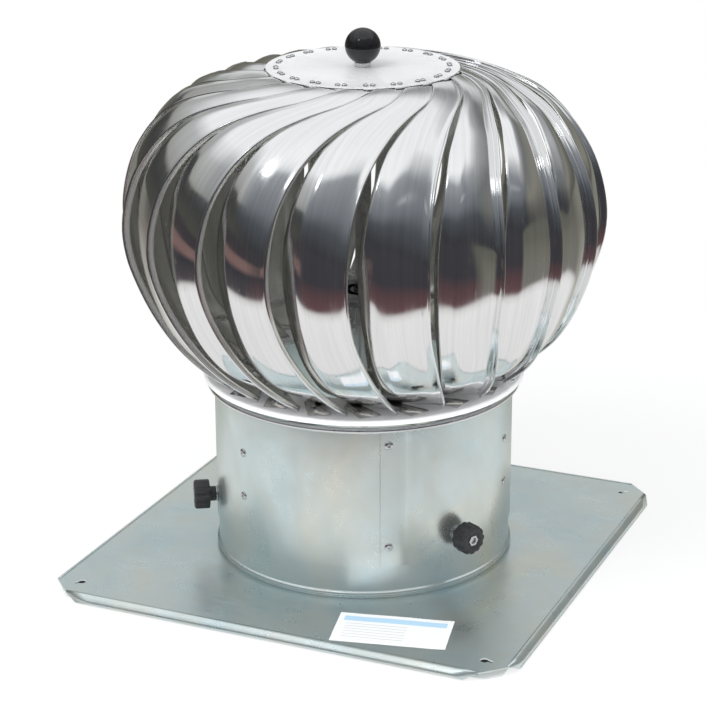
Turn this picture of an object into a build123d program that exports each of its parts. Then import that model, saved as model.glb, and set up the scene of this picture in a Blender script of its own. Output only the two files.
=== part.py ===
"""Roof turbine ventilator: a square roof plate with a spigot collar, a clamp-on neck and a
twenty-blade wind-driven rotor. Millimetres, +Z up, Z is the rotor's axis, and z = 0 is the
lowest edge of the roof plate. An azimuth is counted from -Y towards +X."""

import os
from collections import namedtuple
from math import acos, cos, degrees, radians, sin

from build123d import *

os.makedirs("parts", exist_ok=True)

# ---------------------------------------------------------------- driving dimensions
# Roof plate
plate_side = 488.0            # over the drip rims
plate_sheet = 1.5
rim_out = 6.5                 # how far a drip rim reaches out from its fold
rim_drop = 7.0                # how far it hangs below the plate's underside
corner_cut = 22.0             # leg of the plate's cut corners
rim_end_cut = 14.0            # how much shorter a rim is at its free edge, each end
hole_inset = 25.5             # of the corner holes, from the fold lines
hole_diameter = 9.0

# Collar, the spigot that the neck slips over
neck_diameter = 300.0         # outside of the neck sleeve
neck_sheet = 1.0
collar_clearance = 0.4        # radial, inside the sleeve
collar_sheet = 1.0
collar_height = 67.0          # above the plate
bead_reach = 2.4              # how far the rolled bead stands out
bead_height = 4.6             # of its crest above the plate

# Neck sleeve. Its heights are above its lower edge.
sleeve_lift = 33.5            # its lower edge above the plate
sleeve_height = 140.5
lap_azimuth = 29.4            # free edge of the sleeve's lap seam
lap_angle = 9.0
seam_rivet_inset = 20.5       # of the seam's lower rivet, from the sleeve's lower edge
seam_rivet_drop = 14.5        # of its upper rivet, from the sleeve's upper edge
seam_rivet_azimuth = 32.5
rivet_head_radius = 4.2
rivet_head_height = 1.6
rivet_facets = 8
top_rim_reach = 7.5           # how far the rolled rim stands out from the sleeve
top_rim_height = 5.5
top_rim_skirt = 12.0          # length of its skirt inside the sleeve
top_rim_sheet = 1.0

# Clamp screws
clamp_azimuths = (61.0, 181.0, 301.0)
clamp_height = 55.5           # above the plate
stud_radius = 3.0
slot_clearance = 0.3
washer_radius = 8.0
washer_thickness = 1.5
face_gap = 0.3                # between a clamp piece and the face it bears on
knob_hub_radius = 7.5
knob_hub_length = 6.0
knob_radius = 14.8
knob_length = 16.0
knob_ribs = 12
knob_rib_depth = 1.6
insert_radius = 5.5           # of the hexagonal insert, over its corners
stud_recess = 2.0             # stud end below the knob's face
thread_clearance = 0.1

# Neck spider and axle. Its heights are above the sleeve's lower edge.
spider_azimuths = (91.6, 211.6, 331.6)
spider_width = 25.0
spider_sheet = 3.0
spider_leg_bottom = 36.5
spider_arm_top = 109.5
spider_arm_start = 16.0       # inner end of an arm, from the axis
spider_bend = 6.0
spider_rivet_heights = (50.5, 96.0)
hub_radius = 34.0             # of the hexagonal hub plate, over its corners
hub_thickness = 8.0
hub_rivet_circle = 24.0
axle_radius = 8.0
journal_radius = 6.0
axle_end = 3.0                # length of axle beyond each nut
axle_nut_radius = 10.5        # over the corners
axle_nut_height = 8.0

# Shielded ball bearings
bearing_radius = 16.0
bearing_width = 10.0
bearing_split_radius = 9.6    # where the inner ring meets the shields
bearing_clearance = 0.1

# Rotor. Its heights are above the ring's top face.
blade_count = 20
blade_sheet = 1.0
blade_azimuth = 19.5          # of the first blade's rib at its widest
running_gap = 4.5             # between the neck's rim and the rotor's ring
ring_outer_radius = 161.0
ring_inner_radius = 102.0
ring_sheet = 1.5
ring_rim_height = 5.0
disc_radius = 93.5
disc_sheet = 1.5
disc_height = 303.0           # of its top face
tab_inner_radius = 72.0
tab_width = 12.0
tab_sweep = 43.9              # of a blade's two top rivets, from the blade's azimuth
top_rivet_circle = 83.5
top_rivet_spacing = 6.6
top_rivet_radius = 2.6
foot_rivet_circle = 140.0
foot_rivet_sweep = 1.5
foot_reach = ((156.8, 2.0), (135.0, -6.0))   # radius and sweep of a foot's two outer corners
foot_span = 0.4               # where along rib to crease the foot's bend line ends
housing_radius = 20.0
housing_bore = 12.5
housing_plate_side = 64.0
housing_plate = 3.0
nut_room = 18.0               # from the disc's underside to the upper bearing
lower_room = 4.0              # from the lower housing's flange to its bearing
lower_flange_height = 78.0    # top face of the lower housing's flange
rotor_arm_count = 4
rotor_arm_sweep = 7.5         # from a blade's azimuth, between two blades
rotor_arm_width = 12.0
rotor_arm_sheet = 2.5
rotor_arm_start = 20.0
rotor_arm_knee = (150.0, 47.0)       # radius and height of the arm's knee
rotor_arm_heel = 120.0               # radius where the arm meets the ring
rotor_arm_toe = 107.0
hub_screw_circle = 26.0
ring_screw_circle = 112.5
screw_head_radius = 4.6
screw_head_height = 3.5
ball_knob_radius = 17.5
ball_knob_flat = 15.0         # its flat base below its centre
ball_knob_rows = 9            # rows and sides of its facets
ball_knob_sides = 24
collar_nut_radius = 8.0
collar_nut_height = 5.0
knob_bolt_radius = 3.0
knob_bolt_head = 4.0
knob_bolt_reach = 12.0        # how far the bolt goes into the ball knob

# A blade's cross-sections, from the disc to the ring. Rib is where the panel turns out into
# its flange, edge is the panel's free edge behind the next rib, and sweeps are degrees from
# the blade's azimuth. Crown lifts the crease off the chord; crease is its share of the chord.
Section = namedtuple(
    "Section",
    "rib_radius rib_height rib_sweep edge_radius edge_height edge_sweep flange crease crown",
)
blade_sections = (
    Section(95.0, 300.8, 47.2, 95.0, 300.8, 30.2, 1.5, 0.60, 0.3),
    Section(123.5, 292.5, 33.0, 124.5, 295.5, 16.2, 4.5, 0.62, 1.0),
    Section(149.0, 282.0, 19.2, 150.5, 287.5, 4.2, 6.3, 0.66, 2.2),
    Section(177.5, 267.0, 10.2, 180.5, 273.0, -5.2, 7.0, 0.70, 3.8),
    Section(204.5, 239.0, 4.0, 206.5, 243.5, -11.0, 7.0, 0.72, 5.6),
    Section(223.5, 203.5, 1.2, 219.5, 205.0, -14.0, 7.0, 0.74, 7.3),
    Section(231.5, 156.5, 0.0, 220.0, 156.0, -15.4, 7.0, 0.74, 8.0),
    Section(222.5, 108.0, 1.0, 212.0, 106.0, -14.3, 7.0, 0.73, 7.8),
    Section(205.0, 69.0, 4.0, 198.0, 64.5, -11.9, 7.0, 0.70, 6.4),
    Section(187.0, 36.0, 7.8, 176.0, 34.0, -9.4, 6.5, 0.66, 5.0),
    Section(170.0, 12.0, 11.0, 144.0, 17.5, -7.4, 4.6, 0.58, 3.4),
    Section(143.0, -8.0, 15.0, 95.0, -7.0, -5.0, 2.5, 0.48, 1.6),
)

# ---------------------------------------------------------------- derived sizes
plate_bottom = rim_drop
plate_top = plate_bottom + plate_sheet
fold_half = plate_side / 2 - rim_out
hole_spacing = 2 * (fold_half - hole_inset)
neck_radius = neck_diameter / 2
sleeve_inner = neck_radius - neck_sheet
collar_outer = sleeve_inner - collar_clearance
collar_inner = collar_outer - collar_sheet
collar_top = plate_top + collar_height
sleeve_bottom = plate_top + sleeve_lift
sleeve_top = sleeve_bottom + sleeve_height
seam_rivet_heights = (seam_rivet_inset, sleeve_height - seam_rivet_drop)
rim_top = sleeve_top + top_rim_height
clamp_z = plate_top + clamp_height
washer_start = neck_radius + face_gap
washer_end = washer_start + washer_thickness
knob_start = washer_end + face_gap
head_start = knob_start + knob_hub_length
knob_end = head_start + knob_length
hub_top = sleeve_bottom + spider_arm_top - spider_sheet
hub_bottom = hub_top - hub_thickness
ring_top = rim_top + running_gap + ring_rim_height
disc_top = ring_top + disc_height
disc_bottom = disc_top - disc_sheet
upper_bearing_top = disc_bottom - nut_room
lower_flange_top = ring_top + lower_flange_height
lower_bearing_top = lower_flange_top - lower_room
blade_pitch = 360 / blade_count
blade_azimuths = [blade_azimuth + blade_pitch * number for number in range(blade_count)]
rotor_arm_azimuths = [
    blade_azimuth + rotor_arm_sweep + 360 / rotor_arm_count * number
    for number in range(rotor_arm_count)
]
sketch_margin = 5.0
round_facets = 16             # sides of the smallest round pieces
bearing_facets = 24           # sides of the bearings' seats in their housings


def polar(radius, azimuth, height):
    """The point at a radius, an azimuth in degrees and a height."""
    angle = radians(azimuth)
    return Vector(radius * sin(angle), -radius * cos(angle), height)


def radial_plane(azimuth):
    """The upright plane through Z whose x is the radius and whose y is the height."""
    angle = radians(azimuth)
    return Plane(
        origin=(0, 0, 0),
        x_dir=(sin(angle), -cos(angle), 0),
        z_dir=(-cos(angle), -sin(angle), 0),
    )


def outward_plane(azimuth, radius, height):
    """The plane square to a radius, facing outwards."""
    angle = radians(azimuth)
    return Plane(
        origin=polar(radius, azimuth, height),
        x_dir=(cos(angle), sin(angle), 0),
        z_dir=(sin(angle), -cos(angle), 0),
    )


def level_plane(azimuth, height):
    """The level plane on Z whose x points along an azimuth."""
    return Plane(origin=(0, 0, height), x_dir=polar(1, azimuth, 0), z_dir=(0, 0, 1))


def triangle(*corners):
    """A flat three-cornered face."""
    return Face(Wire.make_polygon(corners, close=True))


def faceted_solid(sections):
    """A solid through closed sections, in flat triangles. The two halves of a section are
    split along opposite diagonals, so that a bent sheet stays equally thick."""
    faces = [Face(Wire.make_polygon(corners, close=True)) for corners in (sections[0], sections[-1])]
    count = len(sections[0])
    for upper, lower in zip(sections, sections[1:]):
        for corner in range(count):
            following = (corner + 1) % count
            start, end = (corner, following) if corner < count / 2 else (following, corner)
            faces.append(triangle(upper[start], upper[end], lower[end]))
            faces.append(triangle(upper[start], lower[end], lower[start]))
    return Solid(Shell(faces))


def finish(builder, name):
    """Labels a finished piece and writes its STEP file."""
    builder.part.label = name
    export_step(builder.part, f"parts/{name}.step")


# ---------------------------------------------------------------- roof plate and collar
with BuildPart() as base_plate:
    with BuildSketch(Plane.XY.offset(plate_bottom)) as plate_outline:
        Rectangle(2 * fold_half, 2 * fold_half)
        chamfer(plate_outline.vertices(), corner_cut)
        Circle(collar_outer, mode=Mode.SUBTRACT)
        with GridLocations(hole_spacing, hole_spacing, 2, 2):
            Circle(hole_diameter / 2, mode=Mode.SUBTRACT)
    extrude(amount=plate_sheet)
    rim_length = 2 * (fold_half - corner_cut)
    for turn in range(4):
        fold_plane = Plane(
            origin=Vector(0, fold_half, 0).rotate(Axis.Z, 90 * turn),
            x_dir=Vector(-1, 0, 0).rotate(Axis.Z, 90 * turn),
            z_dir=Vector(0, 1, 0).rotate(Axis.Z, 90 * turn),
        )
        with BuildSketch(fold_plane):
            with Locations((0, plate_bottom + plate_sheet / 2)):
                Rectangle(rim_length, plate_sheet)
        with BuildSketch(fold_plane.offset(rim_out)):
            with Locations((0, plate_sheet / 2)):
                Rectangle(rim_length - 2 * rim_end_cut, plate_sheet)
        loft(ruled=True)
finish(base_plate, "base_plate")

with BuildPart() as base_collar:
    crest_z = plate_top + bead_height
    with BuildSketch(Plane.XZ):
        with BuildLine():
            Polyline(
                (collar_inner, plate_bottom),
                (collar_outer, plate_bottom),
                (collar_outer, crest_z - bead_reach),
                (collar_outer + bead_reach, crest_z),
                (collar_outer, crest_z + bead_reach),
                (collar_outer, collar_top),
                (collar_inner, collar_top),
                close=True,
            )
        make_face()
    revolve(axis=Axis.Z)
finish(base_collar, "base_collar")

with BuildPart() as clamp_studs:
    for azimuth in clamp_azimuths:
        with BuildSketch(outward_plane(azimuth, collar_outer, clamp_z)):
            Circle(stud_radius)
        extrude(amount=knob_end - stud_recess - collar_outer)
finish(clamp_studs, "clamp_studs")

# ---------------------------------------------------------------- clamp washers and knobs
for number, azimuth in enumerate(clamp_azimuths, start=1):
    with BuildPart() as clamp_washer:
        with BuildSketch(outward_plane(azimuth, washer_start, clamp_z)):
            RegularPolygon(washer_radius, round_facets)
            RegularPolygon(stud_radius + thread_clearance, round_facets, False, mode=Mode.SUBTRACT)
        extrude(amount=washer_thickness)
    finish(clamp_washer, f"clamp_washer_{number}")

    with BuildPart() as clamp_knob:
        with BuildSketch(outward_plane(azimuth, knob_start, clamp_z)):
            RegularPolygon(knob_hub_radius, round_facets)
        extrude(amount=knob_hub_length)
        with BuildSketch(outward_plane(azimuth, head_start, clamp_z)):
            RegularPolygon(knob_radius, 2 * knob_ribs)
            with PolarLocations(knob_radius, knob_ribs):
                Rectangle(2 * knob_rib_depth, 2 * knob_rib_depth, mode=Mode.SUBTRACT)
        extrude(amount=knob_length)
        with BuildSketch(outward_plane(azimuth, knob_start, clamp_z)):
            RegularPolygon(insert_radius, 6)
        extrude(amount=knob_end - knob_start, mode=Mode.SUBTRACT)
    finish(clamp_knob, f"clamp_knob_{number}")

    with BuildPart() as knob_insert:
        with BuildSketch(outward_plane(azimuth, knob_start, clamp_z)):
            RegularPolygon(insert_radius, 6)
            RegularPolygon(stud_radius + thread_clearance, round_facets, False, mode=Mode.SUBTRACT)
        extrude(amount=knob_end - knob_start)
    finish(knob_insert, f"knob_insert_{number}")

# ---------------------------------------------------------------- neck sleeve
with BuildPart() as neck_sleeve:
    with BuildSketch(Plane.XY.offset(sleeve_bottom)):
        Circle(neck_radius)
        with BuildLine():
            lap_start = polar(neck_radius, lap_azimuth, 0)
            lap_crest = polar(neck_radius + neck_sheet, lap_azimuth, 0)
            lap_middle = polar(neck_radius + neck_sheet, lap_azimuth + lap_angle / 2, 0)
            lap_shoulder = polar(neck_radius + neck_sheet, lap_azimuth + lap_angle, 0)
            lap_end = polar(neck_radius, lap_azimuth + lap_angle + 1, 0)
            Polyline((0, 0), lap_start, lap_crest)
            ThreePointArc(lap_crest, lap_middle, lap_shoulder)
            Polyline(lap_shoulder, lap_end, (0, 0))
        make_face()
        Circle(sleeve_inner, mode=Mode.SUBTRACT)
    extrude(amount=sleeve_height)
    slot_radius = stud_radius + slot_clearance
    for azimuth in clamp_azimuths:
        with BuildSketch(outward_plane(azimuth, sleeve_inner - sketch_margin, clamp_z)):
            Circle(slot_radius)
            with Locations((0, -clamp_height / 2)):
                Rectangle(2 * slot_radius, clamp_height)
        extrude(amount=3 * sketch_margin, mode=Mode.SUBTRACT)
finish(neck_sleeve, "neck_sleeve")

with BuildPart() as neck_rim:
    with BuildSketch(Plane.XZ):
        with BuildLine():
            Polyline(
                (sleeve_inner - top_rim_sheet, sleeve_top - top_rim_skirt),
                (sleeve_inner, sleeve_top - top_rim_skirt),
                (sleeve_inner, sleeve_top),
                (neck_radius + top_rim_reach, sleeve_top),
                (neck_radius + top_rim_reach, rim_top),
                (sleeve_inner - top_rim_sheet, rim_top),
                close=True,
            )
        make_face()
    revolve(axis=Axis.Z)
finish(neck_rim, "neck_rim")

with BuildPart() as sleeve_rivets:
    seats = [(seam_rivet_azimuth, height, neck_sheet) for height in seam_rivet_heights]
    seats += [(azimuth, height, 0) for azimuth in spider_azimuths for height in spider_rivet_heights]
    for azimuth, height, lap in seats:
        with BuildSketch(outward_plane(azimuth, neck_radius + lap, sleeve_bottom + height)):
            RegularPolygon(rivet_head_radius, rivet_facets)
        extrude(amount=rivet_head_height)
finish(sleeve_rivets, "sleeve_rivets")

# ---------------------------------------------------------------- neck spider and axle
spider_top = sleeve_bottom + spider_arm_top
for number, azimuth in enumerate(spider_azimuths, start=1):
    with BuildPart() as spider_arm:
        with BuildSketch(radial_plane(azimuth)):
            with BuildLine():
                FilletPolyline(
                    (sleeve_inner, sleeve_bottom + spider_leg_bottom),
                    (sleeve_inner, spider_top),
                    (spider_arm_start, spider_top),
                    radius=spider_bend,
                )
                offset(amount=spider_sheet, side=Side.LEFT)
            make_face()
        extrude(amount=spider_width / 2, both=True)
        with BuildSketch(Plane.XY.offset(sleeve_bottom)):
            Circle(neck_radius + spider_width)
            Circle(sleeve_inner, mode=Mode.SUBTRACT)
        extrude(amount=sleeve_height, mode=Mode.SUBTRACT)
    finish(spider_arm, f"spider_arm_{number}")

with BuildPart() as spider_hub:
    with BuildSketch(level_plane(spider_azimuths[0], hub_bottom)):
        RegularPolygon(hub_radius, 6, rotation=30)
        Circle(journal_radius, mode=Mode.SUBTRACT)
    extrude(amount=hub_thickness)
finish(spider_hub, "spider_hub")

with BuildPart() as hub_rivets:
    for azimuth in spider_azimuths:
        with BuildSketch(level_plane(azimuth, spider_top)):
            with Locations((hub_rivet_circle, 0)):
                RegularPolygon(rivet_head_radius, rivet_facets)
        extrude(amount=rivet_head_height)
finish(hub_rivets, "hub_rivets")

lower_nut_bottom = hub_bottom - axle_nut_height
upper_ring_bottom = upper_bearing_top - bearing_width
upper_nut_top = upper_bearing_top + axle_nut_height
with BuildPart() as axle:
    with BuildSketch(Plane.XZ):
        with BuildLine():
            Polyline(
                (0, lower_nut_bottom - axle_end),
                (journal_radius, lower_nut_bottom - axle_end),
                (journal_radius, hub_top),
                (axle_radius, hub_top),
                (axle_radius, upper_ring_bottom),
                (journal_radius, upper_ring_bottom),
                (journal_radius, upper_nut_top + axle_end),
                (0, upper_nut_top + axle_end),
                close=True,
            )
        make_face()
    revolve(axis=Axis.Z)
finish(axle, "axle")

with BuildPart() as axle_nuts:
    for nut_bottom in (lower_nut_bottom, upper_bearing_top):
        with BuildSketch(Plane.XY.offset(nut_bottom)):
            RegularPolygon(axle_nut_radius, 6)
            Circle(journal_radius, mode=Mode.SUBTRACT)
        extrude(amount=axle_nut_height)
finish(axle_nuts, "axle_nuts")

# ---------------------------------------------------------------- bearings and their housings
# Top of each bearing, radius of its seat on the axle, and room up to its housing's plate
bearings = (
    (lower_bearing_top, axle_radius, lower_room),
    (upper_bearing_top, journal_radius, nut_room),
)

with BuildPart() as bearing_inner_rings:
    for bearing_top, seat_radius, room in bearings:
        with BuildSketch(Plane.XY.offset(bearing_top - bearing_width)):
            RegularPolygon(bearing_split_radius, round_facets)
            RegularPolygon(seat_radius, round_facets, False, mode=Mode.SUBTRACT)
        extrude(amount=bearing_width)
finish(bearing_inner_rings, "bearing_inner_rings")

with BuildPart() as bearing_outer_rings:
    for bearing_top, seat_radius, room in bearings:
        with BuildSketch(Plane.XY.offset(bearing_top - bearing_width)):
            RegularPolygon(bearing_radius, bearing_facets)
            RegularPolygon(bearing_split_radius + bearing_clearance, round_facets, False, mode=Mode.SUBTRACT)
        extrude(amount=bearing_width)
finish(bearing_outer_rings, "bearing_outer_rings")

with BuildPart() as bearing_housings:
    for bearing_top, seat_radius, room in bearings:
        with BuildSketch(Plane.XY.offset(bearing_top - bearing_width)):
            RegularPolygon(housing_radius, rivet_facets, False)
            RegularPolygon(bearing_radius, bearing_facets, mode=Mode.SUBTRACT)
        extrude(amount=bearing_width)
        with BuildSketch(Plane.XY.offset(bearing_top)):
            RegularPolygon(housing_radius, rivet_facets, False)
            RegularPolygon(housing_bore, round_facets, False, mode=Mode.SUBTRACT)
        extrude(amount=room)
        with BuildSketch(level_plane(rotor_arm_azimuths[0], bearing_top + room - housing_plate)):
            Rectangle(housing_plate_side, housing_plate_side)
            RegularPolygon(housing_bore, round_facets, False, mode=Mode.SUBTRACT)
        extrude(amount=housing_plate)
finish(bearing_housings, "bearing_housings")

# ---------------------------------------------------------------- rotor ring and top disc
with BuildPart() as rotor_ring:
    ring_rim_bottom = ring_top - ring_rim_height
    with BuildSketch(Plane.XZ):
        with BuildLine():
            Polyline(
                (ring_inner_radius, ring_top - ring_sheet),
                (ring_outer_radius - ring_sheet, ring_top - ring_sheet),
                (ring_outer_radius - ring_sheet, ring_rim_bottom),
                (ring_outer_radius, ring_rim_bottom),
                (ring_outer_radius, ring_top),
                (ring_inner_radius, ring_top),
                close=True,
            )
        make_face()
    revolve(axis=Axis.Z)
finish(rotor_ring, "rotor_ring")

with BuildPart() as top_disc:
    with BuildSketch(Plane.XY.offset(disc_bottom)):
        Circle(disc_radius)
        Circle(knob_bolt_radius, mode=Mode.SUBTRACT)
    extrude(amount=disc_sheet)
finish(top_disc, "top_disc")

# ---------------------------------------------------------------- blades
def rib_and_edge(section):
    """Rib root and free edge of a blade section."""
    rib = polar(section.rib_radius, section.rib_sweep, ring_top + section.rib_height)
    edge = polar(section.edge_radius, section.edge_sweep, ring_top + section.edge_height)
    return rib, edge


def section_plane(above, section, below):
    """The plane of a blade section between its neighbours: x runs along its chord from rib
    to edge, and y outwards."""
    rib, edge = rib_and_edge(section)
    along = sum(rib_and_edge(below), Vector()) - sum(rib_and_edge(above), Vector())
    chord = edge - rib
    return Plane(origin=rib, x_dir=chord, z_dir=chord.cross(chord.cross(along)))


def section_corners(plane, section):
    """Corners of a blade section: tip of the flange, then down its back and along the inside
    of the panel to the free edge, and back along the outside."""
    rib, edge = rib_and_edge(section)
    chord = (edge - rib).length
    crease = section.crease * chord
    profile = (
        (0, section.flange),
        (-blade_sheet, section.flange),
        (-blade_sheet, -blade_sheet),
        (crease, section.crown - blade_sheet),
        (chord, -blade_sheet),
        (chord, 0),
        (crease, section.crown),
        (0, 0),
    )
    return [plane.from_local_coords(Vector(x, y)) for x, y in profile]


neighbours = zip(
    blade_sections[:1] + blade_sections[:-1],
    blade_sections,
    blade_sections[1:] + blade_sections[-1:],
)
blade_corners = [
    section_corners(section_plane(above, section, below), section)
    for above, section, below in neighbours
]


def bend_line_point(outside, inside):
    """Where the middle of the sheet meets the ring's top face, below the last section but
    one, from its outside and inside corners."""
    upper, lower = ((corners[outside] + corners[inside]) * 0.5 for corners in blade_corners[-2:])
    return upper + (lower - upper) * ((upper.Z - ring_top) / (upper.Z - lower.Z))


with BuildPart() as blade_pattern:
    add(faceted_solid(blade_corners))
    split(bisect_by=Plane.XY.offset(ring_top), keep=Keep.TOP)
    edge_point = bend_line_point(5, 4)
    crease_point = bend_line_point(6, 3)
    heel_point = crease_point + (bend_line_point(7, 2) - crease_point) * foot_span
    toe_points = [polar(radius, sweep, ring_top) for radius, sweep in foot_reach]
    foot_outline = [edge_point, crease_point, heel_point] + toe_points
    with BuildSketch(Plane.XY.offset(ring_top)):
        with BuildLine():
            Polyline(*[(point.X, point.Y) for point in foot_outline], close=True)
        make_face()
    extrude(amount=blade_sheet)
    tab_outer_radius = blade_sections[0].rib_radius
    with BuildSketch(level_plane(tab_sweep, disc_bottom - blade_sheet)):
        with Locations(((tab_inner_radius + tab_outer_radius) / 2, 0)):
            Rectangle(tab_outer_radius - tab_inner_radius, tab_width)
    extrude(amount=blade_sheet)

for number, azimuth in enumerate(blade_azimuths, start=1):
    with BuildPart() as blade:
        add(blade_pattern.part, rotation=(0, 0, azimuth))
    finish(blade, f"blade_{number:02d}")

with BuildPart() as top_rivets:
    for azimuth in blade_azimuths:
        with BuildSketch(level_plane(azimuth + tab_sweep, disc_top)):
            with Locations((top_rivet_circle, 0)):
                with GridLocations(0, top_rivet_spacing, 1, 2):
                    RegularPolygon(top_rivet_radius, 6)
        extrude(amount=rivet_head_height)
finish(top_rivets, "top_rivets")

with BuildPart() as foot_rivets:
    for azimuth in blade_azimuths:
        with BuildSketch(level_plane(azimuth + foot_rivet_sweep, ring_top + blade_sheet)):
            with Locations((foot_rivet_circle, 0)):
                RegularPolygon(rivet_head_radius, 6)
        extrude(amount=rivet_head_height)
finish(foot_rivets, "foot_rivets")

# ---------------------------------------------------------------- rotor arms
knee_radius, knee_height = rotor_arm_knee
for number, azimuth in enumerate(rotor_arm_azimuths, start=1):
    with BuildPart() as rotor_arm:
        with BuildSketch(radial_plane(azimuth)):
            with BuildLine():
                Polyline(
                    (rotor_arm_start, lower_flange_top),
                    (housing_plate_side / 2, lower_flange_top),
                    (knee_radius, ring_top + knee_height),
                    (rotor_arm_heel, ring_top + rotor_arm_sheet),
                    (rotor_arm_toe, ring_top + rotor_arm_sheet),
                )
                offset(amount=rotor_arm_sheet, side=Side.LEFT)
            make_face()
        extrude(amount=rotor_arm_width / 2, both=True)
    finish(rotor_arm, f"rotor_arm_{number}")

with BuildPart() as arm_screws:
    for azimuth in rotor_arm_azimuths:
        for radius, seat in ((hub_screw_circle, lower_flange_top), (ring_screw_circle, ring_top)):
            with BuildSketch(level_plane(azimuth, seat + rotor_arm_sheet)):
                with Locations((radius, 0)):
                    RegularPolygon(screw_head_radius, 6)
            extrude(amount=screw_head_height)
finish(arm_screws, "arm_screws")

# ---------------------------------------------------------------- ball knob
nut_top = disc_top + collar_nut_height
ball_centre = nut_top + ball_knob_flat
with BuildPart() as collar_nut:
    with BuildSketch(Plane.XY.offset(disc_top)):
        RegularPolygon(collar_nut_radius, 6)
        Circle(knob_bolt_radius, mode=Mode.SUBTRACT)
    extrude(amount=collar_nut_height)
finish(collar_nut, "collar_nut")

flat_angle = degrees(acos(ball_knob_flat / ball_knob_radius))
row_angle = (180 - flat_angle) / (ball_knob_rows + 0.5)
ball_rows = []
for row in range(ball_knob_rows + 1):
    angle = radians(flat_angle + row_angle * row)
    row_radius = ball_knob_radius * sin(angle)
    row_height = ball_centre - ball_knob_radius * cos(angle)
    ball_rows.append(
        [polar(row_radius, 360 * side / ball_knob_sides, row_height) for side in range(ball_knob_sides)]
    )
with BuildPart() as ball_knob:
    add(faceted_solid(ball_rows))
    with BuildSketch(Plane.XY.offset(nut_top)):
        Circle(knob_bolt_radius)
    extrude(amount=knob_bolt_reach, mode=Mode.SUBTRACT)
finish(ball_knob, "ball_knob")

with BuildPart() as knob_bolt:
    with BuildSketch(Plane.XY.offset(disc_bottom - knob_bolt_head)):
        RegularPolygon(2 * knob_bolt_radius, 6)
    extrude(amount=knob_bolt_head)
    with BuildSketch(Plane.XY.offset(disc_bottom)):
        Circle(knob_bolt_radius)
    extrude(amount=disc_sheet + collar_nut_height + knob_bolt_reach)
finish(knob_bolt, "knob_bolt")
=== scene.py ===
"""Looks of a roof turbine ventilator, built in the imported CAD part's own frame.
Lengths of the part are millimetres until they reach a mesh. The floor's tones, the lamps and
the camera are in metres. An azimuth is counted from -Y towards +X, in degrees."""

import math

import bmesh
import bpy
from mathutils import Matrix, Vector


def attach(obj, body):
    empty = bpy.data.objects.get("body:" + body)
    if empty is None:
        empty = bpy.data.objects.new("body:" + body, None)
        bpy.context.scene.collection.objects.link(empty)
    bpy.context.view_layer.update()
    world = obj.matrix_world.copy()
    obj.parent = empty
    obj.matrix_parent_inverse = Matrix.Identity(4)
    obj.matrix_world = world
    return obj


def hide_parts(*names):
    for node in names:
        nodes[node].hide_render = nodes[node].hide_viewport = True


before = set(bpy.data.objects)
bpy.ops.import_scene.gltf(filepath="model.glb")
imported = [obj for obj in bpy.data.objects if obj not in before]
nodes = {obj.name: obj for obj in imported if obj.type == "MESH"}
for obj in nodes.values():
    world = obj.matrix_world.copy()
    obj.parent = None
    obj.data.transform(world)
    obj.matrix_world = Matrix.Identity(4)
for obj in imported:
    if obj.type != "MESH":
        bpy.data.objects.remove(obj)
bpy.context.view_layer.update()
MM = 0.001

# ---------------------------------------- main sizes
plate_bottom, plate_top, plate_sheet = 7.0, 8.5, 1.5
fold_half, plate_half, drip_sheet = 237.5, 243.4, 1.4
corner_cut, rim_end_cut = 22.0, 14.0
hole_half = 212.0
neck_radius, sleeve_inner, neck_sheet = 150.0, 149.0, 1.0
collar_outer, collar_inner, collar_top = 148.6, 147.6, 75.5
sleeve_bottom, sleeve_top, rim_top = 42.0, 182.5, 188.0
lap_azimuth, lap_angle = 29.4, 9.0
clamp_azimuths, clamp_z = (61.0, 181.0, 301.0), 64.0
slot_half, slot_end = 3.3, 67.4        # of the sleeve's slots for the clamp screws
ring_top, ring_bottom, ring_lip = 197.5, 196.0, 192.5
ring_inner, ring_outer, ring_sheet = 102.0, 161.0, 1.6
disc_top, disc_bottom, disc_radius = 500.5, 499.0, 93.5
blade_count, blade_azimuth, blade_sheet = 20, 19.5, 0.8
blade_azimuths = [blade_azimuth + 360 / blade_count * n for n in range(blade_count)]
tab_sweep = 43.9                       # of a blade's tab, from the blade's azimuth
spider_azimuths = (91.6, 211.6, 331.6)
arm_azimuth, arm_count = 27.0, 4


# ---------------------------------------- geometry helpers
def polar(radius, azimuth, height):
    angle = math.radians(azimuth)
    return Vector((radius * math.sin(angle), -radius * math.cos(angle), height))


def outward_frame(azimuth, radius, height):
    """Matrix whose z points outwards at an azimuth, x sideways and y up."""
    angle = math.radians(azimuth)
    side = Vector((math.cos(angle), math.sin(angle), 0))
    up = Vector((0, 0, 1))
    out = side.cross(up)
    matrix = Matrix((side, up, out)).transposed().to_4x4()
    matrix.translation = polar(radius, azimuth, height)
    return matrix


def upright_frame(azimuth, radius, height):
    """Matrix whose z points up and whose x points along an azimuth."""
    along = polar(1, azimuth, 0)
    up = Vector((0, 0, 1))
    matrix = Matrix((along, up.cross(along), up)).transposed().to_4x4()
    matrix.translation = polar(radius, azimuth, height)
    return matrix


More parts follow.
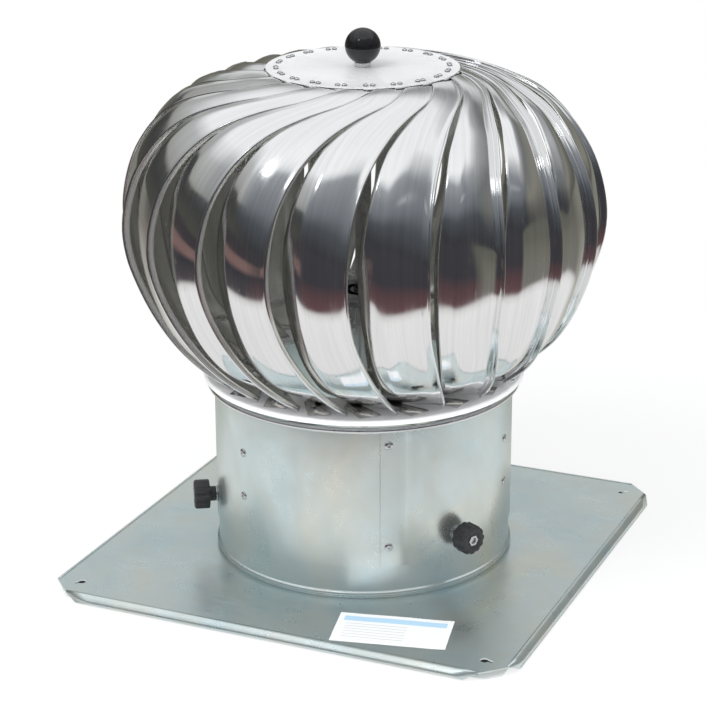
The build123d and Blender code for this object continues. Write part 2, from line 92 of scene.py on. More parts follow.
class Shape:
    """Points and faces in millimetres, gathered from several simple forms."""

    def __init__(self):
        self.points, self.faces = [], []

    def add(self, points, faces):
        start = len(self.points)
        self.points += [Vector(point) for point in points]
        self.faces += [tuple(start + index for index in face) for face in faces]
        return start

    def grid(self, rows, closed_rows=False, closed_columns=False):
        """A sheet through rows of equally many points."""
        count, width = len(rows), len(rows[0])
        faces = []
        for row in range(count if closed_rows else count - 1):
            for column in range(width if closed_columns else width - 1):
                here, below = row * width, (row + 1) % count * width
                beside = (column + 1) % width
                faces.append((here + column, here + beside, below + beside, below + column))
        return self.add([point for row in rows for point in row], faces)

    def lathe(self, profile, steps=96, matrix=None, closed=True):
        """A profile of (radius, height) turned about z. A closed profile is a solid ring; an
        open one starts and ends on the axis or stays a sheet."""
        matrix = matrix or Matrix()
        rows = []
        for step in range(steps):
            angle = math.tau * step / steps
            rows.append(
                [matrix @ Vector((r * math.cos(angle), r * math.sin(angle), z)) for r, z in profile]
            )
        self.grid(rows, closed_rows=True, closed_columns=closed)


def rounded(corners, radius, steps=4, closed=True):
    """The corners of a flat outline with each one turned into an arc. A corner may carry its
    own radius as a third value."""
    result, count = [], len(corners)
    for index, corner in enumerate(corners):
        here = Vector(corner[:2])
        size = corner[2] if len(corner) > 2 else radius
        if not size or (not closed and index in (0, count - 1)):
            result.append((here.x, here.y))
            continue
        before = (Vector(corners[index - 1][:2]) - here).normalized()
        after = (Vector(corners[(index + 1) % count][:2]) - here).normalized()
        half = before.angle(after) / 2
        reach = size / math.tan(half)
        centre = here + (before + after).normalized() * size / math.sin(half)
        first, last = here + before * reach - centre, here + after * reach - centre
        turn = first.angle_signed(last)
        for step in range(steps + 1):
            swing = first.copy()
            swing.rotate(Matrix.Rotation(-turn * step / steps, 2))
            result.append((centre.x + swing.x, centre.y + swing.y))
    return result


def circle(radius, steps):
    angles = [math.tau * n / steps for n in range(steps)]
    return [(radius * math.cos(angle), radius * math.sin(angle)) for angle in angles]


def stand(name, data):
    """Puts a new object with this data in the scene."""
    made = bpy.data.objects.new(name, data)
    bpy.context.scene.collection.objects.link(made)
    return made


def piece(name, shape, material, body, stands_for=(), sharp=35, merge=0.0, outward=False):
    """Makes the Blender object of a shape, in metres, and lets it ride on its body. An open
    sheet is turned to face away from the part's middle with outward."""
    mesh = bpy.data.meshes.new(name)
    mesh.from_pydata([point * MM for point in shape.points], [], shape.faces)
    work = bmesh.new()
    work.from_mesh(mesh)
    if merge:
        bmesh.ops.remove_doubles(work, verts=work.verts, dist=merge * MM)
    bmesh.ops.recalc_face_normals(work, faces=work.faces)
    facing = sum(face.normal.dot(face.calc_center_median()) * face.calc_area() for face in work.faces)
    if outward and facing < 0:
        bmesh.ops.reverse_faces(work, faces=work.faces)
    work.to_mesh(mesh)
    work.free()
    mesh.shade_smooth()
    mesh.set_sharp_from_angle(angle=math.radians(sharp))
    mesh.materials.append(material)
    made = stand(name, mesh)
    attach(made, body)
    if stands_for:
        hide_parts(*stands_for)
    return made


def lay_uvs(made, marks, shift=(0.0, 0.0)):
    """Gives each vertex of a piece its own UV, moved by shift."""
    layer = made.data.uv_layers.new(name="sheet")
    for loop in made.data.loops:
        u, v = marks[loop.vertex_index]
        layer.data[loop.index].uv = (u + shift[0], v + shift[1])


def refinish(material, *names):
    """Gives CAD nodes a material in place of their own."""
    for name in names:
        nodes[name].data.materials.clear()
        nodes[name].data.materials.append(material)


# ---------------------------------------- material helpers
class NodeTree:
    """A node tree with short calls for the nodes that this script uses."""

    def __init__(self, tree):
        self.tree = tree

    def node(self, kind, sockets=None, **settings):
        """A new node, with the values of some of its sockets and its own settings."""
        made = self.tree.nodes.new(kind)
        for key, value in settings.items():
            setattr(made, key, value)
        for socket, value in (sockets or {}).items():
            made.inputs[socket].default_value = value
        return made

    def link(self, source, target):
        self.tree.links.new(source, target)

    def feed(self, value, socket):
        """Sets a socket to a number or a colour, or links another node's output to it."""
        if isinstance(value, (int, float)):
            socket.default_value = value
        elif isinstance(value, tuple):
            socket.default_value = (*value, 1)
        else:
            self.link(value, socket)

    def place(self, scale=(1, 1, 1), source="Object", rotation=(0, 0, 0)):
        """Coordinates in metres on the piece, stretched by scale."""
        coordinates = self.node("ShaderNodeTexCoord")
        mapping = self.node("ShaderNodeMapping", {"Scale": scale, "Rotation": rotation})
        self.link(coordinates.outputs[source], mapping.inputs["Vector"])
        return mapping.outputs["Vector"]

    def noise(self, scale, detail, rough, distortion=0.0, **where):
        """Noise of about so many patches to the metre along each axis."""
        sockets = {"Scale": 1.0, "Detail": detail, "Roughness": rough, "Distortion": distortion}
        made = self.node("ShaderNodeTexNoise", sockets)
        self.link(self.place(scale, **where), made.inputs["Vector"])
        return made.outputs["Fac"]

    def ramp(self, value, *stops):
        made = self.node("ShaderNodeValToRGB")
        elements = made.color_ramp.elements
        while len(elements) < len(stops):
            elements.new(0.5)
        for element, (position, colour) in zip(elements, stops):
            element.position = position
            shade = colour if hasattr(colour, "__len__") else (colour,) * 3
            element.color = (*shade, 1)
        self.link(value, made.inputs["Fac"])
        return made.outputs["Color"]

    def spread(self, value, low, high, start=0.0, end=1.0):
        """value from start..end mapped to low..high."""
        limits = {"From Min": start, "From Max": end, "To Min": low, "To Max": high}
        made = self.node("ShaderNodeMapRange", limits)
        self.link(value, made.inputs["Value"])
        return made.outputs["Result"]

    def maths(self, kind, first, second=0.0):
        made = self.node("ShaderNodeMath", operation=kind)
        self.feed(first, made.inputs[0])
        self.feed(second, made.inputs[1])
        return made.outputs["Value"]

    def along(self, source, azimuth):
        """How far a vector reaches along an azimuth."""
        made = self.node("ShaderNodeVectorMath", {1: polar(1, azimuth, 0)}, operation="DOT_PRODUCT")
        self.link(source, made.inputs[0])
        return made.outputs["Value"]

    def axes(self, source):
        """The X, Y and Z of a vector."""
        made = self.node("ShaderNodeSeparateXYZ")
        self.link(source, made.inputs["Vector"])
        return made.outputs

    def mix(self, factor, first, second):
        """A mix of two colours. Sockets 0, 6 and 7 are the node's factor and colours."""
        made = self.node("ShaderNodeMix", data_type="RGBA")
        for socket, value in ((0, factor), (6, first), (7, second)):
            self.feed(value, made.inputs[socket])
        return made.outputs[2]

    def emission(self, colour):
        made = self.node("ShaderNodeEmission")
        self.feed(colour, made.inputs["Color"])
        return made.outputs["Emission"]

    def blend(self, factor, first, second):
        """A mix of two shaders."""
        made = self.node("ShaderNodeMixShader")
        for socket, value in zip(made.inputs, (factor, first, second)):
            self.feed(value, socket)
        return made.outputs["Shader"]


class Finish(NodeTree):
    """A node material built up around one Principled shader."""

    def __init__(self, name, colour, metallic=1.0, roughness=0.3):
        self.material = bpy.data.materials.new(name)
        self.material.use_nodes = True
        super().__init__(self.material.node_tree)
        self.shader = self.tree.nodes["Principled BSDF"]
        self.shader.inputs["Base Color"].default_value = (*colour, 1)
        self.shader.inputs["Metallic"].default_value = metallic
        self.shader.inputs["Roughness"].default_value = roughness
        self.height = None

    def colour(self, value):
        self.link(value, self.shader.inputs["Base Color"])

    def rough(self, value):
        self.link(value, self.shader.inputs["Roughness"])

    def bump(self, value, depth):
        """Adds a height of up to depth millimetres."""
        made = self.node("ShaderNodeBump", {"Distance": depth * MM})
        self.link(value, made.inputs["Height"])
        if self.height:
            self.link(self.height, made.inputs["Normal"])
        self.height = made.outputs["Normal"]
        self.link(self.height, self.shader.inputs["Normal"])


# ---------------------------------------- materials
def mirror_finish():
    """Bright rolled aluminium: fine lines along the blade, faint waves and dull marks."""
    made = Finish("bright_aluminium", (0.86, 0.865, 0.87), roughness=0.09)
    streaks = made.noise((230, 5, 1), 5, 0.65, source="UV")
    smears = made.noise((45, 9, 1), 3, 0.55, source="UV")
    waves = made.noise((7, 5, 1), 1, 0.4, source="UV")
    marks = made.noise((190, 34, 1), 5, 0.7, source="UV", rotation=(0, 0, 0.5))
    marks = made.ramp(marks, (0.6, 0.0), (0.7, 1.0))
    light, middle, dark = (0.92, 0.925, 0.93), (0.87, 0.875, 0.88), (0.80, 0.805, 0.815)
    made.colour(made.ramp(streaks, (0.3, dark), (0.55, middle), (0.75, light)))
    base = made.spread(smears, 0.05, 0.15, 0.3, 0.75)
    base = made.maths("ADD", base, made.spread(streaks, 0.0, 0.05, 0.45, 0.75))
    made.rough(made.maths("ADD", base, made.maths("MULTIPLY", marks, 0.16)))
    made.bump(waves, 0.9)
    made.bump(smears, 0.035)
    made.bump(streaks, 0.006)
    return made.material


def inner_finish():
    """The same sheet on its unpolished inner face, duller and a little dusty."""
    made = Finish("dull_aluminium", (0.78, 0.775, 0.75), metallic=0.8, roughness=0.2)
    streaks = made.noise((120, 6, 1), 4, 0.6, source="UV")
    dust = made.noise((30, 14, 1), 4, 0.6, source="UV")
    made.colour(made.ramp(streaks, (0.3, (0.70, 0.695, 0.66)), (0.7, (0.84, 0.835, 0.80))))
    made.rough(made.spread(dust, 0.14, 0.28, 0.3, 0.7))
    made.bump(dust, 0.03)
    return made.material


def mill_finish(name, metallic):
    """Whitish unpolished aluminium sheet. At metallic 0 it is dull and oxidised."""
    made = Finish(name, (0.88, 0.88, 0.89), metallic=metallic, roughness=0.42)
    grain = made.noise((160, 160, 160), 4, 0.6)
    cloud = made.noise((14, 14, 14), 3, 0.5)
    made.colour(made.ramp(cloud, (0.3, (0.83, 0.83, 0.845)), (0.7, (0.93, 0.93, 0.935))))
    made.rough(made.spread(grain, 0.33, 0.5, 0.3, 0.7))
    made.bump(cloud, 0.5)
    made.bump(grain, 0.02)
    return made.material


def galvanised_finish():
    """Zinc-coated sheet: pale blue-green grey with greener clouds and faint streaks."""
    made = Finish("galvanised_sheet", (0.62, 0.67, 0.68), metallic=0.9, roughness=0.3)
    cloud = made.noise((9, 9, 7), 4, 0.55, 0.6)
    blotch = made.noise((26, 26, 18), 5, 0.6, 0.3)
    rolled = made.noise((14, 14, 300), 3, 0.6)
    grain = made.noise((420, 420, 420), 2, 0.5)
    blue, grey, green = (0.61, 0.735, 0.765), (0.70, 0.79, 0.795), (0.765, 0.79, 0.725)
    pale = made.ramp(cloud, (0.32, blue), (0.5, grey), (0.68, green))
    warm = made.ramp(blotch, (0.42, 0.0), (0.68, 0.55))
    tone = made.mix(warm, pale, (0.72, 0.755, 0.71))
    dull = made.ramp(made.noise((60, 60, 40), 5, 0.7), (0.55, 0.0), (0.8, 0.16))
    made.colour(made.mix(dull, tone, (0.55, 0.57, 0.56)))
    made.rough(made.spread(blotch, 0.24, 0.38, 0.3, 0.7))
    made.bump(cloud, 1.2)
    made.bump(rolled, 0.012)
    made.bump(grain, 0.006)
    return made.material


def speckled_finish(name, scale, dark, light, roughs, depth, detail=4, start_light=0.7, metallic=1.0):
    """One noise for colour, roughness and bump: small plated, moulded or enamelled parts."""
    made = Finish(name, light, metallic=metallic)
    grain = made.noise(scale, detail, 0.6)
    made.colour(made.ramp(grain, (0.3, dark), (start_light, light)))
    made.rough(made.spread(grain, *roughs, 0.3, 0.7))
    made.bump(grain, depth)
    return made.material


def fastener_finish(name, dark, light, *roughs):
    return speckled_finish(name, (150, 150, 150), dark, light, roughs, 0.05, start_light=0.65)


def ball_finish():
    made = Finish("polished_black", (0.006, 0.006, 0.007), metallic=0.0, roughness=0.06)
    dust = made.noise((900, 900, 900), 3, 0.6)
    made.rough(made.spread(dust, 0.045, 0.11, 0.35, 0.75))
    made.colour(made.ramp(dust, (0.4, (0.005, 0.005, 0.006)), (0.9, (0.02, 0.02, 0.022))))
    made.bump(made.noise((70, 70, 70), 2, 0.4), 0.05)
    return made.material


def label_finish():
    """White paper with a pale blue band and thin grey rules, and no lettering."""
    made = Finish("blank_label", (0.86, 0.87, 0.87), metallic=0.0, roughness=0.4)
    axes = made.axes(made.place((1, 1, 1), "UV"))
    across, down = axes["X"], axes["Y"]

    def stripe(value, low, high):
        above = made.maths("GREATER_THAN", value, low)
        return made.maths("MULTIPLY", above, made.maths("LESS_THAN", value, high))

    band = made.maths("MULTIPLY", stripe(down, 0.74, 0.9), stripe(across, 0.05, 0.95))
    phase = made.maths("FRACT", made.maths("MULTIPLY", down, 11.0))
    rules = made.maths("MULTIPLY", stripe(phase, 0.0, 0.16), stripe(down, 0.1, 0.68))
    rules = made.maths("MULTIPLY", rules, stripe(across, 0.08, 0.62))
    fibre = made.noise((110, 60, 1), 4, 0.6, source="UV")
    paper = made.ramp(fibre, (0.3, (0.82, 0.83, 0.84)), (0.7, (0.89, 0.895, 0.89)))
    printed = made.mix(band, paper, (0.45, 0.66, 0.83))
    made.colour(made.mix(made.maths("MULTIPLY", rules, 0.7), printed, (0.42, 0.44, 0.46)))
    made.bump(fibre, 0.03)
    return made.material


bright = mirror_finish()
dull = inner_finish()
mill = mill_finish("mill_aluminium", 0.4)
chalky = mill_finish("oxidised_aluminium", 0.0)
galvanised = galvanised_finish()
rim_metal = speckled_finish(
    "rolled_aluminium", (40, 40, 400), (0.84, 0.84, 0.85), (0.94, 0.94, 0.94), (0.24, 0.38), 0.02
)
rivet_metal = fastener_finish("rivet_aluminium", (0.62, 0.62, 0.63), (0.80, 0.80, 0.81), 0.16, 0.34)
zinc = fastener_finish("zinc_plated", (0.56, 0.56, 0.55), (0.70, 0.71, 0.72), 0.18, 0.36)
ground = fastener_finish("ground_steel", (0.58, 0.58, 0.59), (0.66, 0.66, 0.67), 0.12, 0.24)
enamel = speckled_finish(
    "grey_enamel", (220, 220, 220), (0.26, 0.27, 0.28), (0.34, 0.35, 0.36), (0.34, 0.52), 0.12, metallic=0.0
)
gloss_black = ball_finish()
moulded_black = speckled_finish(
    "moulded_black", (1500, 1500, 1500), (0.016, 0.016, 0.018), (0.04, 0.04, 0.042), (0.3, 0.5), 0.05,
    detail=3, start_light=0.75, metallic=0.0,
)
paper = label_finish()


# ---------------------------------------- roof plate and collar
def cut_square(half, cut):
    ends = ((half - cut, -half), (half, cut - half))
    corners = []
    for turn in range(4):
        for x, y in ends:
            for _ in range(turn):
                x, y = -y, x
            corners.append((x, y))
    return corners


def plate_panel():
    """The flat panel as a fine sheet with its round opening, holes and slots cut out."""
    bm = bmesh.new()
    outline = cut_square(fold_half, corner_cut)
    opening = collar_inner + 0.6
    loops = [outline, circle(opening, 128)]
    for sx in (-1, 1):
        for sy in (-1, 1):
            loops.append([(sx * hole_half + x, sy * hole_half + y) for x, y in slot_outline(sx, sy)])
    edges = []
    for loop in loops:
        ring = [bm.verts.new((x * MM, y * MM, plate_top * MM)) for x, y in loop]
        edges += [bm.edges.new((a, b)) for a, b in zip(ring, ring[1:] + ring[:1])]
    bmesh.ops.triangle_fill(bm, use_beauty=True, use_dissolve=False, edges=edges)
    return bm


def slot_outline(sx, sy):
    """A round screw hole with a short narrow slot off it, along the plate's diagonal at two
    corners and along x at the other two."""
    hole, half, slot_reach = 4.3, 2.2, 8.5
    opening = math.asin(half / hole)
    away = math.atan2(sy, sx) if sx == sy else math.atan2(0, sx)
    hole_steps, end_steps = 20, 8
    points = []
    for n in range(hole_steps + 1):
        angle = away + opening + (math.tau - 2 * opening) * n / hole_steps
        points.append((hole * math.cos(angle), hole * math.sin(angle)))
    for n in range(end_steps + 1):
        turn = math.pi * (n / end_steps - 0.5)
        reach = slot_reach - half * (1 - math.cos(turn))
        aside = half * math.sin(turn)
        x = reach * math.cos(away) - aside * math.sin(away)
        y = reach * math.sin(away) + aside * math.cos(away)
        points.append((x, y))
    return points


bm = plate_panel()
mesh = bpy.data.meshes.new("roof_plate")
bmesh.ops.recalc_face_normals(bm, faces=bm.faces)
if sum(face.normal.z for face in bm.faces) < 0:
    bmesh.ops.reverse_faces(bm, faces=bm.faces)
bm.to_mesh(mesh)
bm.free()
mesh.materials.append(galvanised)
roof_plate = stand("roof_plate", mesh)
sheet = roof_plate.modifiers.new("sheet", "SOLIDIFY")
sheet.thickness, sheet.offset = plate_sheet * MM, -1
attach(roof_plate, "base")

drip_rims = Shape()
rim_steps = 24
half_length = fold_half - corner_cut
section = [(fold_half - 2.5, 0.0), (fold_half - 0.7, -0.25), (fold_half + 0.6, -1.0)]
section += [(fold_half + 3.4, -4.1), (plate_half - 0.2, -7.0)]
for turn in range(4):
    rotation = Matrix.Rotation(math.radians(90 * turn), 4, "Z")
    rows = []
    for step in range(rim_steps + 1):
        share = step / rim_steps * 2 - 1
        row = []
        for reach, drop in section:
            shorter = rim_end_cut * max(0.0, (reach - fold_half)) / (plate_half - fold_half)
            row.append(rotation @ Vector((share * (half_length - shorter), -reach, plate_top + drop)))
        rows.append(row)
    drip_rims.grid(rows)
rims = piece("drip_rims", drip_rims, galvanised, "base", ["base_plate"])
sheet = rims.modifiers.new("sheet", "SOLIDIFY")
sheet.thickness, sheet.offset = drip_sheet * MM, 0

collar = Shape()
# The bead's section: how far it stands off the collar, and its height.
bead = [(0.0, 15.6), (0.5, 15.2), (1.6, 14.6), (2.3, 13.4)]
bead += [(2.3, 12.2), (1.5, 11.0), (0.5, 10.2), (0.3, 8.7)]
profile = [(collar_inner, plate_bottom), (collar_inner, collar_top), (collar_outer, collar_top)]
profile += [(collar_outer + aside, z) for aside, z in bead]
profile.append((collar_outer + bead[-1][0], plate_bottom))
collar.lathe(profile, 160)
piece("spigot_collar", collar, galvanised, "base", ["base_collar"], 50)

# ---------------------------------------- neck sleeve and its rim
sleeve = Shape()
# In degrees: the groove beside the seam, and how far the step blends back into the sleeve.
seam_gap, lap_blend = 0.3, 1.6
seam_depth = 0.85


def sleeve_reach(azimuth):
    """Outer radius of the sleeve: the lap's outer layer stands one sheet proud."""
    beyond = (azimuth - lap_azimuth) % 360
    if beyond > 360 - seam_gap:
        return neck_radius - seam_depth
    if beyond < 0.02:
        return neck_radius
    if beyond <= lap_angle:
        return neck_radius + neck_sheet
    return neck_radius + max(0.0, neck_sheet - (beyond - lap_angle) / lap_blend)


def sleeve_columns():
    """Azimuths of the sleeve's upright lines, with the edges of the seam and slots."""
    steps = [-seam_gap - 0.02, 0.01 - seam_gap, -0.01, 0.03]
    steps += [lap_angle, lap_angle + 0.8, lap_angle + lap_blend]
    places = {round(lap_azimuth + step, 3) for step in steps}
    reach = math.degrees(slot_half / neck_radius)
    slot_steps, spacing, nearest = 12, 2.0, 0.5
    for azimuth in clamp_azimuths:
        for n in range(slot_steps + 1):
            places.add(round(azimuth + reach * math.cos(math.pi * n / slot_steps), 3))
    for n in range(round(360 / spacing)):
        azimuth = n * spacing
        if all(abs((azimuth - other + 180) % 360 - 180) > nearest for other in places):
            places.add(azimuth)
    return sorted(places)


def slot_top(azimuth):
    """Height of the slot's upper end at an azimuth, or None beside a slot."""
    for middle in clamp_azimuths:
        aside = math.radians((azimuth - middle + 180) % 360 - 180) * neck_radius
        if abs(aside) <= slot_half + 1e-3:
            return clamp_z + math.sqrt(max(0.0, slot_half * slot_half - aside * aside))
    return None


heights = [sleeve_bottom, 48, 56, clamp_z, slot_end, 80, 95, 110, 125, 140, 155, 170, sleeve_top]
slot_level = heights.index(slot_end)
columns = sleeve_columns()
outer, inner = [], []
for azimuth in columns:
    top = slot_top(azimuth)
    reach = sleeve_reach(azimuth)
    line = list(heights)
    if top is not None:
        line[slot_level] = top
    outer.append([polar(reach, azimuth, z) for z in line])
    inner.append([polar(sleeve_inner, azimuth, z) for z in line])
width = len(heights)
start_outer = sleeve.add([p for row in outer for p in row], [])
start_inner = sleeve.add([p for row in inner for p in row], [])
open_cell = []
for index, azimuth in enumerate(columns):
    following = columns[(index + 1) % len(columns)]
    middle = azimuth + ((following - azimuth) % 360) / 2
    open_cell.append(slot_top(middle) is not None)
for index in range(len(columns)):
    beside = (index + 1) % len(columns)
    for level in range(width - 1):
        if open_cell[index] and level < slot_level:
            continue
        a, b = index * width + level, beside * width + level
        sleeve.faces.append((start_outer + a, start_outer + b, start_outer + b + 1, start_outer + a + 1))
        sleeve.faces.append((start_inner + a, start_inner + a + 1, start_inner + b + 1, start_inner + b))
    low = slot_level if open_cell[index] else 0
    for level in (low, width - 1):
        a, b = index * width + level, beside * width + level
        sleeve.faces.append((start_outer + a, start_inner + a, start_inner + b, start_outer + b))
    if open_cell[index] != open_cell[beside]:
        for level in range(slot_level):
            a = beside * width + level
            out, back = start_outer + a, start_inner + a
            sleeve.faces.append((out, out + 1, back + 1, back))
piece("neck_sleeve_sheet", sleeve, galvanised, "neck", ["neck_sleeve"], 30)

rim = Shape()
rim_inner, rim_mouth, rim_outer = 148.0, 152.5, 157.5
rim_skirt, rim_throat = 170.5, 184.2
outline = [(rim_inner, rim_skirt, 0), (sleeve_inner, rim_skirt, 0), (sleeve_inner, sleeve_top, 0.8)]
outline += [(rim_outer, sleeve_top, 2.6), (rim_outer, rim_top, 2.7), (rim_mouth, rim_top, 2.6)]
outline += [(151.4, rim_throat, 0.6), (rim_inner, rim_throat, 0.8)]
rim.lathe(rounded(outline, 1.0, 5), 160)
piece("rolled_neck_rim", rim, rim_metal, "neck", ["neck_rim"], 40)


# ---------------------------------------- rivets and screws
def blind_rivet(shape, matrix, radius, height, sides=24, hole=0.32):
    """A low domed head with a pulled-in middle, its base at the matrix's origin."""
    profile = [(radius, 0), (radius, height * 0.25), (radius * 0.88, height * 0.62)]
    profile += [(radius * 0.66, height * 0.9), (radius * 0.45, height), (radius * hole, height * 0.95)]
    profile += [(radius * hole * 0.8, height * 0.3), (0.01, height * 0.35)]
    shape.lathe(profile, sides, matrix, closed=False)


rivet_radius, rivet_height = 4.2, 1.7
tab_rivet_radius, tab_rivet_circle, tab_rivet_aside = 2.6, 83.5, 3.3
foot_rivet_circle, foot_rivet_sweep = 140, 1.5
sheet_lift = 0.9                       # a foot's upper face above the ring
sunk = 0.1                             # how far a head sits in its sheet
seam_rivet_azimuth, seam_rivet_heights = 32.5, (62.5, 168.0)
spider_rivet_heights = (92.5, 138.0)
sleeve_heads = Shape()
seats = [(seam_rivet_azimuth, z, neck_sheet) for z in seam_rivet_heights]
seats += [(azimuth, z, 0.0) for azimuth in spider_azimuths for z in spider_rivet_heights]
for azimuth, z, lap in seats:
    seat = outward_frame(azimuth, neck_radius + lap - sunk, z)
    blind_rivet(sleeve_heads, seat, rivet_radius, rivet_height)
piece("sleeve_rivet_heads", sleeve_heads, rivet_metal, "neck", ["sleeve_rivets"], 60)

foot_heads, top_heads = Shape(), Shape()
for azimuth in blade_azimuths:
    seat = upright_frame(azimuth + foot_rivet_sweep, foot_rivet_circle, ring_top + sheet_lift)
    blind_rivet(foot_heads, seat, rivet_radius, rivet_height)
    middle = polar(tab_rivet_circle, azimuth + tab_sweep, disc_top - sunk)
    aside = polar(1, azimuth + tab_sweep + 90, 0)
    for side in (-tab_rivet_aside, tab_rivet_aside):
        seat = Matrix.Translation(middle + aside * side)
        blind_rivet(top_heads, seat, tab_rivet_radius, rivet_height, 16, 0.5)
piece("foot_rivet_heads", foot_heads, rivet_metal, "rotor", ["foot_rivets"], 60)
piece("top_rivet_heads", top_heads, rivet_metal, "rotor", ["top_rivets"], 60)

# ---------------------------------------- clamp knobs
knob_ribs, rib_steps, groove_depth = 12, 10, 1.6
washer_section = rounded([(3.15, 150.3), (8, 150.3), (8, 151.8), (3.15, 151.8)], 0.35, 2)
knob_hub = ((5.3, 152.1), (7.0, 152.1), (7.5, 152.7), (7.5, 156.8), (8.0, 158.1), (5.3, 158.1))
# The knob's section: radius, reach from the neck's axis, and share of the grooves' depth.
knob_section = (
    (5.4, 158.1, 0), (11.0, 158.1, 0), (13.9, 158.4, 0.4), (14.8, 159.4, 1), (14.8, 171.6, 1),
    (14.2, 173.1, 0.8), (12.6, 174.0, 0.2), (8.4, 174.1, 0), (7.4, 173.4, 0), (5.4, 173.4, 0),
)
for number, azimuth in enumerate(clamp_azimuths, start=1):
    seat = outward_frame(azimuth, 0, clamp_z)
    washer = Shape()
    washer.lathe(washer_section, 48, seat)
    name, stands_for = f"washer_{number}", [f"clamp_washer_{number}"]
    piece(name, washer, zinc, f"clamp_{number}", stands_for, 50)
    knob = Shape()
    knob.lathe(knob_hub, 48, seat)
    rows = []
    for step in range(knob_ribs * rib_steps):
        angle = math.tau * step / (knob_ribs * rib_steps)
        wave = 0.5 + 0.5 * math.cos(knob_ribs * angle)
        groove = groove_depth * max(0.0, min(1.0, (0.55 - wave) / 0.35))
        row = []
        for radius, reach, share in knob_section:
            size = radius - groove * share
            row.append(seat @ Vector((size * math.cos(angle), size * math.sin(angle), reach)))
        rows.append(row)
    knob.grid(rows, closed_rows=True, closed_columns=True)
    name, stands_for = f"knob_{number}", [f"clamp_knob_{number}"]
    piece(name, knob, moulded_black, name, stands_for, 50)
    refinish(zinc, f"knob_insert_{number}")

# ---------------------------------------- blades
# From the disc down to the ring: the rib's tip and the panel's free edge, each as radius,
# height and sweep from the blade's azimuth, then the flange's depth and the panel's crown.
blade_law = (
    ((93, 499.6, 47.0), (93, 499.6, 29.5), 1.2, 0.3),
    ((109, 497.6, 40.2), (109, 497.6, 22.6), 3.0, 0.6),
    ((124.5, 494.0, 33.0), (124.5, 494.0, 16.0), 4.5, 1.0),
    ((138, 489.8, 25.4), (138, 489.8, 9.6), 5.5, 1.6),
    ((151, 485.0, 19.0), (150, 485.5, 4.0), 6.3, 2.2),
    ((167, 478.0, 13.4), (166, 479.0, -1.4), 7.0, 3.0),
    ((181, 470.0, 9.8), (179.5, 471.0, -5.2), 7.0, 3.8),
    ((195, 458.0, 6.5), (192, 459.0, -8.5), 7.0, 4.5),
    ((210, 440.0, 3.5), (205, 441.0, -11.2), 7.0, 5.6),
    ((225, 414.0, 1.2), (216.5, 414.5, -13.4), 7.0, 6.8),
    ((234.5, 384.0, 0.1), (219.5, 384.0, -15.0), 7.0, 7.8),
    ((238, 354.0, -0.3), (219.2, 353.5, -15.4), 7.0, 8.0),
    ((234, 323.0, 0.0), (215.5, 322.0, -14.9), 7.0, 8.0),
    ((224, 293.0, 1.2), (208.5, 291.0, -13.7), 7.0, 7.4),
    ((210.5, 264.0, 3.7), (197.5, 261.5, -11.8), 7.0, 6.8),
    ((193, 237.0, 7.0), (178, 235.0, -9.2), 6.6, 5.6),
    ((172, 215.0, 11.2), (146, 216.0, -7.4), 5.4, 3.8),
    ((150.5, 198.4, 15.4), (108, 198.2, -5.0), 4.0, 1.6),
)
finer_rows = 4
rotor_middle = Vector((0, 0, 345))     # a blade's out is away from here
# The panel's section between its fold and its free edge: share of the way and of the crown.
crown_line = ((0.0, 0.0), (0.30, 0.80), (0.66, 1.08), (0.82, 0.62), (1.0, 0.0))
bend_steps = 5
hem_radius, hem_steps, hem_turn = 1.25, 9, 1.5 * math.pi    # the rolled edge along the rib's tip
fold_radius, fold_steps = 1.5, 3       # of the bend from the flange to the panel


def along_law(values, place):
    """Catmull-Rom through a list of vectors or numbers."""
    index = min(int(place), len(values) - 2)
    t = place - index
    p1, p2 = values[index], values[index + 1]
    p0 = values[index - 1] if index else p1 * 2 - p2
    p3 = values[index + 2] if index + 2 < len(values) else p2 * 2 - p1
    square = p0 * 2 - p1 * 5 + p2 * 4 - p3
    cube = p1 * 3 - p0 - p2 * 3 + p3
    return (p1 * 2 + (p2 - p0) * t + square * t**2 + cube * t**3) * 0.5


rib_line = [Vector(row[0]) for row in blade_law]
edge_line = [Vector(row[1]) for row in blade_law]
places = [n / finer_rows for n in range((len(blade_law) - 1) * finer_rows + 1)]
law_rows = []
for place in places:
    radius, z, sweep = along_law(rib_line, place)
    tip = polar(radius, sweep, z)
    radius, z, sweep = along_law(edge_line, place)
    edge = polar(radius, sweep, z)
    flange = along_law([row[2] for row in blade_law], place)
    crown = along_law([row[3] for row in blade_law], place)
    law_rows.append((tip, edge, flange, crown))


def crown_places():
    """The crown line as a smooth curve that starts and ends at its first and last points."""
    corners = [Vector(corner) for corner in crown_line]
    bends = [corners[0]] + [(a + b) / 2 for a, b in zip(corners[1:-2], corners[2:-1])] + [corners[-1]]
    for first, corner, last in zip(bends, corners[1:-1], bends[1:]):
        for step in range(1, bend_steps + 1):
            share = step / bend_steps
            yield first.lerp(corner, share).lerp(corner.lerp(last, share), share)


